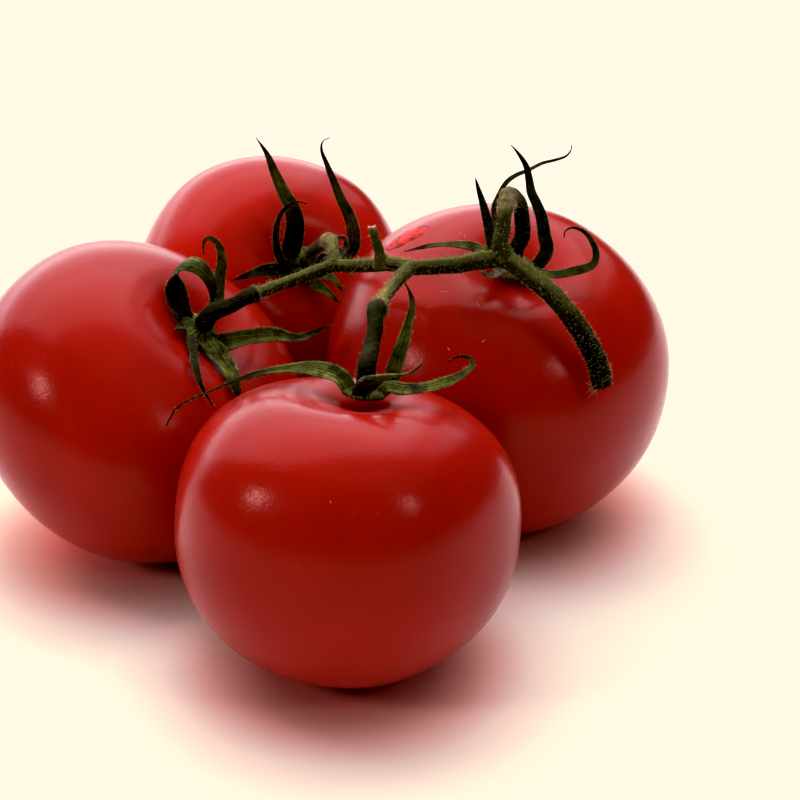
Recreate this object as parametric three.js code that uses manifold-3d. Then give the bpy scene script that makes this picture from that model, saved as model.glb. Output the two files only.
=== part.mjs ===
// A truss of four ripe tomatoes, still joined by their green vine, lying on a table.
// Millimetres, +Z up. X runs to the right and Y away from the side that the truss is seen from.
// The origin is on the table, under the middle of the truss.

import * as THREE from "three";
import { mergeVertices } from "three/addons/utils/BufferGeometryUtils.js";
import Module from "manifold-3d";

const wasm = await Module();
wasm.setup();

// Driving dimensions
const FOOT_SINK = 0.45; // how far a fruit's underside is flattened where it stands
const FRUIT_COLUMNS = 40;
const FRUIT_ROWS = 22;

// Each fruit: the place of its middle, its radius, its heights above and below its widest ring,
// the lean of its core from upright and the compass direction of that lean, and the squareness
// of its profile above and below the ring (2 is an ellipse), the turn of its lobes and the depth
// of the hollow round its stalk.
const FRUITS = {
  front: {
    x: 5.0, y: -55.4, radius: 31.5, above: 26.2, below: 28.6, lean: 10, toward: 60,
    squareAbove: 2.6, squareBelow: 2.02, lobePhase: 0, dimple: 3.5,
  },
  left: {
    x: -38.4, y: -5.7, radius: 35.7, above: 26.4, below: 28.8, lean: 38, toward: -24,
    squareAbove: 2.25, squareBelow: 2.0, lobePhase: 75, dimple: 5.0,
  },
  back: {
    x: -15.6, y: 57.7, radius: 32.4, above: 27.3, below: 28.2, lean: 56, toward: -64,
    squareAbove: 2.24, squareBelow: 2.08, lobePhase: 40, dimple: 5.0,
  },
  right: {
    x: 34.9, y: 8.8, radius: 36.3, above: 33.2, below: 30.6, lean: 22, toward: -76,
    squareAbove: 2.36, squareBelow: 2.02, lobePhase: 10, dimple: 5.0,
  },
};
const DIMPLE_SHARE = 0.3; // width of the hollow round the stalk, as a share of the fruit's radius
const LOBES = 5; // the seed chambers show as faint lobes
const LOBE_SHARE = 0.01;

const GAP = 0.3; // left between pieces that touch

// The collar that a fruit's sepals grow from, in the hollow at its stalk.
const COLLAR_RADIUS = 4.0;
const COLLAR_RISE = 0.9; // half its thickness
const COLLAR_SIDES = 12;
const COLLAR_PROFILE = [[0, -1], [0.7, -1], [1, 0], [0.8, 1], [0, 1]]; // shares of its radius and rise
const STALK_LIFT = 0.6; // the gap between the collar's top and the stalk

const SEPAL_ROOT = 2.8; // how far from the collar's middle a sepal starts
const SEPAL_ROOT_SHARE = 0.75; // a sepal's width at its root, as a share of its greatest width
const SEPAL_WIDEST = 0.3; // the share of its length where it is widest
const SEPAL_TAPER = 0.9; // how fast it narrows: a higher number makes a thinner tip
const SEPAL_POINT = 1.6; // how far along it stays wide
const SEPAL_EDGE = 0.6; // thickness of a sepal at its edges and tip
const SEPAL_MIDDLE = 0.9; // and at its midrib
const SEPAL_TIP_WIDTH = 0.8;
const SEPAL_STEPS = 16;

// The middle of each collar.
const COLLARS = {
  front: [8.5, -51.4, 53.0],
  left: [-25.1, -11.6, 49.3],
  back: [-6.9, 39.9, 44.4],
  right: [37.6, -2.0, 59.0],
};

// Each sepal: its greatest width, how far its edges fold up as a share of its half width, the way
// that its inner face looks, from root to tip, and the points that its midrib passes through,
// measured from the collar's middle. A sepal with a taper of its own is thinner or blunter.
const SEPALS = {
  front: [
    {
      width: 4.0, fold: 0.4, taper: 3.2, looks: [[0, -0.6, 1], [0, -0.3, 1]],
      route: [[-4.5, 1.2, 2.4], [-8.5, 3, 3], [-13, 4.3, 2.7], [-20, 4, 1.7], [-28.5, 1, -0.5],
        [-33.5, -1, -2.5], [-35.5, -2, -5.5]],
    },
    {
      width: 2.8, fold: 0.3, looks: [[0, -0.5, 1], [0, -0.6, 1], [-0.6, -0.7, 0.4]],
      route: [[4.3, -1, 1.4], [6.6, -2.2, 1.5], [8.8, -3, 1.9], [11.2, -3, 2.3], [13.6, -2.5, 2.8],
        [15.7, -1.5, 3.2], [17.5, 0, 3.7], [18.9, 1, 4.3], [19.3, 2, 4.9], [18.8, 3, 5.4],
        [17.4, 3.2, 5.7], [16, 3, 5.5], [15.1, 3, 4.8]],
    },
    {
      width: 3.2, fold: 0.3, looks: [[-0.1, -1, 0.3], [-0.4, -1, 0]],
      route: [[4.5, 2, 0.9], [5, 2.2, 2.6], [5.9, 2.6, 5.3], [6.8, 3.4, 8.1], [7.7, 4.4, 10.8],
        [8.4, 5.4, 13.4], [8.5, 6.2, 15.4], [7.9, 7.2, 16.9], [7.1, 8, 18.1]],
    },
    {
      width: 4.4, fold: 0.4, taper: 2.2, looks: [[0, 0.9, 0.4], [0, 0.6, 0.8]],
      route: [[-0.4, -3.8, 1.6], [1.6, -5.5, 4.2], [3.9, -6.8, 5.9], [5.4, -7.5, 6.5], [7, -8, 6.9],
        [8.4, -8, 7.5], [9.6, -7.5, 8.2], [10.5, -7, 9.1]],
    },
  ],
  left: [
    {
      width: 4.6, fold: 0.15, taper: 0.5,
      looks: [[0.5, -0.8, 0.2], [0.4, -0.8, -0.1], [0.8, 0, -0.6], [0.1, 0.8, -0.5], [0, 0.8, -0.5]],
      route: [[-2.9, 0.4, 2.4], [-4, 1.2, 5], [-4.7, 2, 7.6], [-5, 2.5, 10], [-4, 2.6, 12], [-2.2, 2.2, 13.1],
        [0, 1.2, 12.9], [1.9, 0, 11.5], [3, -1, 9.2], [3.1, -1.6, 6.4]],
    },
    {
      width: 3.2, fold: 0.3, looks: [[0, -1, 0.2], [0, -0.8, 0.6]],
      route: [[2.2, 3, 1.6], [3.1, 3.8, 3.8], [3.5, 4.2, 6.3], [4, 4.5, 9.4], [4.6, 4.5, 12.2],
        [4.5, 4.5, 14.7], [3.6, 4.5, 16.7], [2.4, 4.4, 17.5], [1.4, 4.2, 17.1], [1.1, 4, 15.9],
        [1.2, 3.8, 14.6]],
    },
    {
      width: 4.4, fold: 0.5, looks: [[0, -0.7, 0.8], [0, -0.5, 0.9]],
      route: [[3.5, -2.5, -2.5], [9.5, -3, -1], [15, -2.5, -0.5], [19.5, -1.5, -1.5], [23, 0.5, -1],
        [26, 2.5, 0]],
    },
    {
      width: 4.0, fold: 0.3, taper: 0.4, looks: [[0.3, -0.7, 0.7], [0.3, -0.7, 0.7]],
      route: [[2.5, -4, -2], [5.5, -7.5, -4], [7.5, -11.5, -6], [8.5, -14, -8.5]],
    },
    {
      width: 2.1, fold: 0.3, looks: [[-0.2, -0.8, 0.6], [-0.2, -0.8, 0.6]],
      route: [[-1, -5, 0], [0, -10, -0.7], [0.5, -13.5, -1.7], [2, -17.5, -4.7], [4.5, -19.5, -8.7]],
    },
    {
      width: 2.4, fold: 0.3, looks: [[-0.3, -0.8, 0.6], [-0.3, -0.8, 0.6]],
      route: [[-3, -3, 1.3], [-4, -6, 2.2]],
    },
  ],
  back: [
    {
      width: 4.8, fold: 0.3, looks: [[0.1, -1, 0.2], [-0.2, -1, 0.2]],
      route: [[-3, -1.2, 2.4], [-2, -3.7, 6.8], [-1.3, -5.5, 11.5], [-1.9, -6, 15.4], [-3.5, -6, 18.6],
        [-5.4, -6, 23.2], [-7.1, -5.5, 27.4], [-9.5, -5, 31]],
    },
    {
      width: 2.2, fold: 0.3, looks: [[0.2, -1, 0.2], [0.2, -1, 0.4]],
      route: [[-4, -1.5, 0.7], [-5.3, -5, 4.2], [-5.6, -7, 8], [-5.1, -8, 12.5], [-3.8, -8, 15.3],
        [-1.8, -8, 16.9], [-0.1, -7.5, 17.1], [1.2, -7, 16.6]],
    },
    {
      width: 3.8, fold: 0.3, looks: [[-0.3, -1, 0.2], [0, -1, 0.2]],
      route: [[4.2, 0.3, 0.9], [9, -3.5, 3], [11.3, -5.5, 6.1], [11.7, -7, 9.3], [10.8, -8, 13.9],
        [8.8, -8, 18.2], [7.5, -8, 21.7], [5.9, -8, 25.9], [4.8, -7.5, 28.9], [5.1, -7, 30.6],
        [6.7, -7, 31.4]],
    },
    {
      width: 3.8, fold: 0.3, looks: [[0, -0.8, 0.6], [0, -0.8, 0.6]],
      route: [[-3.4, -2.8, -0.8], [-6, -5.2, 0.4], [-9, -7.4, 1], [-12.5, -9.2, 0.5], [-15.5, -9.8, -0.3]],
    },
    {
      width: 3.2, fold: 0.3, looks: [[0, -0.9, 0.5], [0, -0.9, 0.5]],
      route: [[2.5, -3, -3.5], [5.5, -7, -4], [8.5, -9.5, -6]],
    },
    {
      width: 2.8, fold: 0.3, looks: [[0, -0.9, 0.5], [0, -0.9, 0.5]],
      route: [[3.8, -2, -1.5], [7, -7, -1], [9.5, -10, -3.5]],
    },
    {
      width: 2.2, fold: 0.5, taper: 0.5, looks: [[0, -0.6, 0.8], [-0.8, -0.6, 0.2], [0, -0.8, -0.6]],
      route: [[4.3, -1.8, 0.4], [7.2, -5.6, 3.2], [9, -8.4, 5.7], [10.2, -9.5, 8.2], [9.5, -10, 10.1],
        [8.1, -10.5, 9.9], [8, -10.8, 8.2], [8.9, -11, 7.3]],
    },
  ],
  right: [
    {
      width: 3.0, fold: 0.2, taper: 0.7, looks: [[-0.2, -1, 0.1], [0, -1, 0.1]],
      route: [[4.6, -2.4, 1.2], [6.4, -3, 4.7], [5.8, -3, 7.9], [5.3, -2.5, 11], [4.2, -2, 13.9],
        [3.1, -1.5, 16.2], [2.6, -1, 18.8], [1.9, -1, 21.5], [0.3, -1, 24], [-1.1, -1, 25.6]],
    },
    {
      width: 2.6, fold: 0.3, taper: 0.6, looks: [[0.2, -1, 0.2], [0, -1, 0.1]],
      route: [[-3.2, -2.4, 2], [-4.7, -3.2, 6.9], [-5.5, -4, 10.6], [-6.4, -4, 14.2], [-7.4, -4, 17.4],
        [-8.1, -4, 19.9]],
    },
    {
      width: 1.2, fold: 0.1, taper: 0.5, looks: [[0.3, -0.8, 0.5], [0, -0.7, 0.7]],
      route: [[-1.5, 3.3, 1.8], [-3.1, 5.2, 5.8], [-3.8, 6, 10.5], [-2.9, 7, 12.7], [-1.2, 8, 15.3],
        [0.7, 9, 16.4], [3.3, 10, 17.2], [6, 10, 18.6], [8.7, 10, 19.3], [10.9, 10, 20.2],
        [11.7, 10, 21.4], [11.8, 10, 22.4]],
    },
    {
      width: 2.4, fold: 0.2,
      looks: [[0, -0.5, 0.9], [0, -0.5, 0.9], [-0.5, -0.9, 0.3], [0, -1, 0], [0, -1, 0]],
      route: [[3.5, -4, 0.2], [7.5, -6, 0.4], [12, -6, 1.3], [15.5, -5, 2.3], [16.2, -4, 4],
        [15.6, -3.5, 6], [14.3, -3, 7.9], [12.8, -3, 9], [11.2, -3, 9.3], [9.9, -3.5, 8.8], [9.6, -4, 7.6]],
    },
    {
      width: 2.6, fold: 0.3, looks: [[0, -0.4, 1], [0, -0.4, 1]],
      route: [[-3.8, 0.5, 2], [-8.5, 1, 3.8], [-15, 0.5, 4.4], [-22, 1, 2.9]],
    },
    {
      width: 2.4, fold: 0.3, looks: [[0, -0.7, 0.7], [0, -0.7, 0.7]],
      route: [[-2.5, -4, 0.8], [-4.9, -8.5, 1], [-7.2, -10, 2.7]],
    },
  ],
};

// The vine: each stretch passes through its points, and its radii are spread evenly along it.
const VINE_MAIN = {
  radii: [2.0, 1.95, 1.9, 1.75, 1.5, 1.35, 1.25, 1.15],
  route: [[54, -25, 43], [52.8, -24.7, 47.8], [50.3, -24, 52.5], [46.9, -22.3, 57.2], [43.3, -20, 60.6],
    [39.2, -16.5, 63], [35.2, -14, 64.8], [30.3, -14.3, 64.7], [25.5, -14.7, 64], [20.6, -15, 63.7],
    [16.4, -15, 63.7], [13.2, -13, 63.6], [9.9, -10.5, 62.5], [5.9, -7, 61], [1.8, -5, 60.3],
    [-2, -5.2, 59.1], [-5.2, -6, 58.1], [-9.5, -8, 57.2], [-13.7, -10.5, 56.4]],
};
const BROKEN_STUB = {
  radii: [2.0, 1.0, 0.85, 0.75],
  route: [[11.4, -12, 62.9], [10.6, -12.3, 66.5], [9.9, -12, 68.8], [9.3, -11.5, 70.8]],
};

// Each fruit's stalk: the near half, which is part of the vine and ends in a knuckle, and the far
// half, whose route is what it passes through between the knuckle and the collar. A facing is a
// direction square enough to the stalk to set its facets by.
const STALKS = {
  front: {
    near: [[17.2, -15, 63.8], [15.4, -19, 63.7], [13.7, -25, 63.7], [12, -31.5, 63.8], [10.7, -38, 63.9]],
    far: [[10.3, -42.5, 62.2], [9.6, -46, 59.5]],
    nearRadii: [1.5, 1.2, 1.2, 1.3], farRadii: [1.35, 1.5, 1.75], facing: [1, 0, 0],
  },
  left: {
    near: [[-9.5, -8, 57.2], [-13.7, -10.5, 56.4]],
    far: [[-18.5, -11.3, 54.3]],
    nearRadii: [1.2, 1.2], farRadii: [1.25, 1.6, 1.9], facing: [0, -1, 0],
  },
  back: {
    near: [[1.8, -5, 60.4], [1.4, -2, 61.6], [1, 2, 61.8], [0.2, 6.5, 61.4]],
    far: [[-1.8, 14, 58], [-4.4, 25, 52.3]],
    nearRadii: [1.4, 1.1, 1.1], farRadii: [1.0, 1.1, 1.5], facing: [1, 0, 0],
  },
  right: {
    near: [[35.2, -14, 64.8], [34.3, -13.8, 68], [34.8, -13.3, 70.9], [35, -12.6, 73.7], [35.5, -11, 75.2]],
    far: [[38.1, -8.4, 74.6], [38.7, -7, 71.2], [39, -5.5, 66.8]],
    nearRadii: [2.1, 1.45, 1.4, 1.35], farRadii: [1.4, 1.5, 1.55], facing: [1, 0, 0],
  },
};

const STALK_SIDES = 8;
const VINE_STEPS = 34;
const STUB_STEPS = 6;
const NEAR_STEPS = 12;
const FAR_STEPS = 14;
const KNUCKLE_SWELL = 0.4; // how much thicker a stalk is at its knuckle
const KNUCKLE_LENGTH = 0.14; // the share of the stretch that swells
const KNUCKLE_RUN = 2.0; // how far the far half runs straight on from its knuckle
const STALK_FOOT = 5.0; // how far above its collar a stalk already stands on the fruit's core

const FRUIT_RED = new THREE.MeshStandardMaterial({ color: 0xb3160c, roughness: 0.28, metalness: 0 });
const SEPAL_GREEN = new THREE.MeshStandardMaterial({ color: 0x46602a, roughness: 0.7, metalness: 0 });
const STALK_GREEN = new THREE.MeshStandardMaterial({ color: 0x4f5f2c, roughness: 0.75, metalness: 0 });

const radians = THREE.MathUtils.degToRad;
const UP = new THREE.Vector3(0, 0, 1);

// A closed three.js geometry as a solid for joining and cutting.
function solid(geometry) {
  const bare = geometry.clone();
  bare.deleteAttribute("normal");
  bare.deleteAttribute("uv");
  const merged = mergeVertices(bare, 1e-4);
  return new wasm.Manifold(new wasm.Mesh({
    numProp: 3,
    vertProperties: merged.attributes.position.array,
    triVerts: new Uint32Array(merged.index.array),
  }));
}

// The geometry of a solid.
function geometryOf(made) {
  const mesh = made.getMesh();
  const geometry = new THREE.BufferGeometry();
  geometry.setAttribute("position", new THREE.BufferAttribute(mesh.vertProperties, 3));
  geometry.setIndex(new THREE.BufferAttribute(mesh.triVerts, 1));
  geometry.computeVertexNormals();
  return geometry;
}

// The turn that leans a fruit's core from upright.
function leaning(fruit) {
  const hinge = radians(fruit.toward + 90);
  const axis = new THREE.Vector3(Math.cos(hinge), Math.sin(hinge), 0);
  return new THREE.Quaternion().setFromAxisAngle(axis, radians(fruit.lean));
}

// A fruit's skin point at an angle down from the stalk and a turn round the core.
// The profile is a superellipse, faintly lobed, with a hollow sunk in at the stalk.
function skinPoint(fruit, down, turn) {
  const upper = down < Math.PI / 2;
  const square = upper ? fruit.squareAbove : fruit.squareBelow;
  const height = upper ? fruit.above : fruit.below;
  const s = Math.sin(down);
  const c = Math.cos(down);
  const reach = Math.pow(
    Math.pow(s / fruit.radius, square) + Math.pow(Math.abs(c) / height, square),
    -1 / square,
  );
  const lobe = 1 + LOBE_SHARE * s * Math.cos(LOBES * turn + radians(fruit.lobePhase));
  const r = reach * s * lobe;
  const dimple = upper ? fruit.dimple * Math.exp(-Math.pow(r / (DIMPLE_SHARE * fruit.radius), 2)) : 0;
  return new THREE.Vector3(r * Math.cos(turn), r * Math.sin(turn), reach * c - dimple);
}

// A fruit as a closed skin, set down so that the table cuts a small flat foot.
function fruitSolid(fruit) {
  const points = [skinPoint(fruit, 0, 0)];
  for (let row = 1; row < FRUIT_ROWS; row++) {
    for (let column = 0; column < FRUIT_COLUMNS; column++) {
      const turn = (2 * Math.PI * column) / FRUIT_COLUMNS;
      points.push(skinPoint(fruit, (Math.PI * row) / FRUIT_ROWS, turn));
    }
  }
  points.push(skinPoint(fruit, Math.PI, 0));
  const last = points.length - 1;
  const faces = [];
  const at = (row, column) => 1 + (row - 1) * FRUIT_COLUMNS + (column % FRUIT_COLUMNS);
  for (let column = 0; column < FRUIT_COLUMNS; column++) {
    faces.push(0, at(1, column), at(1, column + 1));
    faces.push(last, at(FRUIT_ROWS - 1, column + 1), at(FRUIT_ROWS - 1, column));
    for (let row = 1; row < FRUIT_ROWS - 1; row++) {
      faces.push(at(row, column), at(row + 1, column), at(row + 1, column + 1));
      faces.push(at(row, column), at(row + 1, column + 1), at(row, column + 1));
    }
  }
  const geometry = new THREE.BufferGeometry().setFromPoints(points);
  geometry.setIndex(faces);
  geometry.applyQuaternion(leaning(fruit));
  geometry.computeBoundingBox();
  geometry.translate(fruit.x, fruit.y, -FOOT_SINK - geometry.boundingBox.min.z);
  const room = 4 * fruit.radius;
  const below = new THREE.BoxGeometry(room, room, room).translate(fruit.x, fruit.y, -room / 2);
  return solid(geometry).subtract(solid(below));
}

// A smooth curve through points, in the truss's frame.
function curveThrough(points) {
  return new THREE.CatmullRomCurve3(points.map((p) => new THREE.Vector3(...p)), false, "centripetal");
}

// A value read off an even list of values, a share of the way along.
function along(values, share) {
  const place = share * (values.length - 1);
  const i = Math.min(Math.floor(place), values.length - 2);
  return THREE.MathUtils.lerp(values[i], values[i + 1], place - i);
}

// A vector read off an even list of vectors, a share of the way along.
function vectorAlong(vectors, share) {
  return new THREE.Vector3(...[0, 1, 2].map((axis) => along(vectors.map((v) => v[axis]), share)));
}

// A closed body swept along a curve. The section is a ring of [across, up] points that may change
// along the way, and its up side looks the way that the list of vectors says, from start to end.
function sweep(curve, steps, looks, sectionAt) {
  const points = [];
  let sides = 0;
  for (let step = 0; step <= steps; step++) {
    const share = step / steps;
    const centre = curve.getPointAt(share);
    const tangent = curve.getTangentAt(share);
    const normal = vectorAlong(looks, share);
    normal.addScaledVector(tangent, -normal.dot(tangent)).normalize();
    const side = new THREE.Vector3().crossVectors(tangent, normal);
    const section = sectionAt(share);
    sides = section.length;
    for (const [across, up] of section) {
      points.push(centre.clone().addScaledVector(side, across).addScaledVector(normal, up));
    }
  }
  const faces = [];
  for (let step = 0; step < steps; step++) {
    for (let i = 0; i < sides; i++) {
      const a = step * sides + i;
      const b = step * sides + ((i + 1) % sides);
      // The lower half is split the other way, so that both faces of a thin blade bend alike.
      if (i < sides / 2) faces.push(a, b, b + sides, a, b + sides, a + sides);
      else faces.push(a, b, a + sides, b, b + sides, a + sides);
    }
  }
  for (const [first, share, flip] of [[0, 0, true], [steps * sides, 1, false]]) {
    const outline = sectionAt(share).map(([across, up]) => new THREE.Vector2(up, across));
    for (const [a, b, c] of THREE.ShapeUtils.triangulateShape(outline, [])) {
      faces.push(first + a, first + (flip ? c : b), first + (flip ? b : c));
    }
  }
  const geometry = new THREE.BufferGeometry().setFromPoints(points);
  geometry.setIndex(faces);
  return geometry;
}

// A round stalk along a curve, with radii read evenly along it and a swelling at one end if asked.
function stalkSolid(curve, steps, radii, facing, swellAt = null) {
  return solid(sweep(curve, steps, [facing, facing], (share) => {
    const swell = swellAt === null ? 0 : Math.exp(-Math.pow((share - swellAt) / KNUCKLE_LENGTH, 2));
    const radius = along(radii, share) + KNUCKLE_SWELL * swell;
    return Array.from({ length: STALK_SIDES }, (_, i) => {
      const turn = (2 * Math.PI * i) / STALK_SIDES;
      return [-radius * Math.cos(turn), radius * Math.sin(turn)];
    });
  }));
}

// How wide a sepal is along its length, as a share of its greatest width.
function sepalShape(share, taper) {
  const opening = Math.sin((Math.min(share / SEPAL_WIDEST, 1) * Math.PI) / 2);
  const base = THREE.MathUtils.lerp(SEPAL_ROOT_SHARE, 1, opening);
  return base * Math.pow(1 - Math.pow(share, SEPAL_POINT), taper);
}

// A sepal: a thin pointed blade, folded along its midrib, rooted in the collar.
function sepalSolid(sepal, centre, core) {
  const leaving = new THREE.Vector3(...sepal.route[0]);
  const outward = leaving.clone().addScaledVector(core, -leaving.dot(core)).normalize();
  const root = outward.clone().multiplyScalar(SEPAL_ROOT);
  const offsets = [root.toArray(), ...sepal.route];
  const curve = curveThrough(offsets.map((p) => centre.clone().add(new THREE.Vector3(...p)).toArray()));
  const taper = sepal.taper ?? SEPAL_TAPER;
  return solid(sweep(curve, SEPAL_STEPS, sepal.looks, (share) => {
    const half = Math.max(sepal.width * sepalShape(share, taper), SEPAL_TIP_WIDTH) / 2;
    const edge = SEPAL_EDGE / 2;
    const middle = THREE.MathUtils.lerp(SEPAL_MIDDLE, SEPAL_EDGE, share) / 2;
    const lift = sepal.fold * half;
    const upper = [[-half, lift + edge], [0, middle], [half, lift + edge]];
    const lower = [[half, lift - edge], [0, -middle], [-half, lift - edge]];
    return [...upper, ...lower];
  }));
}

// A calyx: the collar in the fruit's hollow and its sepals, grown as one piece.
function calyxSolid(place) {
  const centre = new THREE.Vector3(...COLLARS[place]);
  const core = UP.clone().applyQuaternion(leaning(FRUITS[place]));
  const profile = COLLAR_PROFILE.map(([r, h]) => new THREE.Vector2(r * COLLAR_RADIUS, h * COLLAR_RISE));
  const collar = new THREE.LatheGeometry(profile, COLLAR_SIDES);
  collar.applyQuaternion(new THREE.Quaternion().setFromUnitVectors(new THREE.Vector3(0, 1, 0), core));
  collar.translate(...COLLARS[place]);
  return SEPALS[place].reduce((made, sepal) => made.add(sepalSolid(sepal, centre, core)), solid(collar));
}

// The vine: the main stem with its broken stub and the near half of each stalk.
function vineSolid() {
  const front = [0, -1, 0];
  const main = stalkSolid(curveThrough(VINE_MAIN.route), VINE_STEPS, VINE_MAIN.radii, front);
  const stub = stalkSolid(curveThrough(BROKEN_STUB.route), STUB_STEPS, BROKEN_STUB.radii, front);
  return Object.values(STALKS).reduce((made, stalk) => {
    return made.add(stalkSolid(curveThrough(stalk.near), NEAR_STEPS, stalk.nearRadii, stalk.facing, 1));
  }, main.add(stub));
}

// The far half of a stalk, from just past the knuckle to just above the collar.
function farStalkSolid(place) {
  const stalk = STALKS[place];
  const near = curveThrough(stalk.near);
  const knuckle = near.getPointAt(1);
  const onward = near.getTangentAt(1);
  const collar = new THREE.Vector3(...COLLARS[place]);
  const core = UP.clone().applyQuaternion(leaning(FRUITS[place]));
  const curve = curveThrough([
    knuckle.clone().addScaledVector(onward, GAP).toArray(),
    knuckle.clone().addScaledVector(onward, KNUCKLE_RUN).toArray(),
    ...stalk.far,
    collar.clone().addScaledVector(core, STALK_FOOT).toArray(),
    collar.clone().addScaledVector(core, COLLAR_RISE + STALK_LIFT).toArray(),
  ]);
  return stalkSolid(curve, FAR_STEPS, stalk.farRadii, stalk.facing, 0);
}

const truss = new THREE.Group();
truss.name = "truss_of_tomatoes";

function addPiece(name, made, material) {
  const mesh = new THREE.Mesh(geometryOf(made), material.clone());
  mesh.name = name;
  truss.add(mesh);
}

for (const [place, fruit] of Object.entries(FRUITS)) {
  addPiece(`tomato_${place}`, fruitSolid(fruit), FRUIT_RED);
  addPiece(`calyx_${place}`, calyxSolid(place), SEPAL_GREEN);
  addPiece(`stalk_${place}`, farStalkSolid(place), STALK_GREEN);
}
addPiece("vine", vineSolid(), STALK_GREEN);

export default truss;
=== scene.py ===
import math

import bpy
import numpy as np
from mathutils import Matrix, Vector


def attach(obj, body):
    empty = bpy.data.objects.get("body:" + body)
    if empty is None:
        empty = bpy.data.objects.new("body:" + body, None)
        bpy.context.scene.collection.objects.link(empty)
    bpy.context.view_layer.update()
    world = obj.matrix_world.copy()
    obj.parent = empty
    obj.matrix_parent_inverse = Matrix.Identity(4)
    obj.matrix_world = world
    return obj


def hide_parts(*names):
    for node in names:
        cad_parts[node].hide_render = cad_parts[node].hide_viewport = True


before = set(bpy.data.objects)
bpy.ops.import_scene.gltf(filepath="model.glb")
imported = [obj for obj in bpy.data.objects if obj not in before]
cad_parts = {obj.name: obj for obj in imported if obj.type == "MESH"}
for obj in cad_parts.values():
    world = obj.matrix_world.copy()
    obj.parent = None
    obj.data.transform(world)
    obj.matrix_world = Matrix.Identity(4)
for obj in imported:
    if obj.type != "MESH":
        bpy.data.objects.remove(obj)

# %% [markdown]
# # A truss of four ripe tomatoes
# Four glossy red fruits lie on a pale table, still joined by their green vine. The solid model
# that was loaded above gives the place of every piece. This lesson makes each piece again with
# a finer surface: smooth skin, ribbed and curling sepals, hairy stalks and soft light.
# All the shapes are worked out with numpy as whole arrays of points, in millimetres, and are
# turned into metres only when they become a mesh.

MM = 0.001
chance = np.random.default_rng(20)

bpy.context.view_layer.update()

# %% [markdown]
# ## The driving values
# These are the measures that the solid model was made from: the place and the size of each
# fruit, the middle of each collar, and the way that every sepal and stalk runs. A fruit is
# given by its greatest radius, its height above and below its widest ring, the lean of its
# core, and how square its profile is (2 is an ellipse). A sepal is given by its width, how far
# it is folded, the points that its midrib passes through from its collar, the way that its face
# looks, and its brightnesses: how bright its green is painted from the root to the tip, for the
# light and shade along it.

# %% The four fruits
FRUITS = {
    "front": dict(x=5.0, y=-55.4, radius=31.5, above=26.2, below=28.6, lean=10, toward=60,
                  square_above=2.6, square_below=2.02, lobe_phase=0, dimple=3.5),
    "left": dict(x=-38.4, y=-5.7, radius=35.7, above=26.4, below=28.8, lean=38, toward=-24,
                 square_above=2.25, square_below=2.0, lobe_phase=75, dimple=5.0),
    "back": dict(x=-15.6, y=57.7, radius=32.4, above=27.3, below=28.2, lean=56, toward=-64,
                 square_above=2.24, square_below=2.08, lobe_phase=40, dimple=5.0),
    "right": dict(x=34.9, y=8.8, radius=36.3, above=33.2, below=30.6, lean=22, toward=-76,
                  square_above=2.36, square_below=2.02, lobe_phase=10, dimple=5.0),
}
FOOT_SINK = 0.45
DIMPLE_SHARE = 0.3
LOBES = 5
LOBE_SHARE = 0.01
print(len(FRUITS), "fruits")

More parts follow.
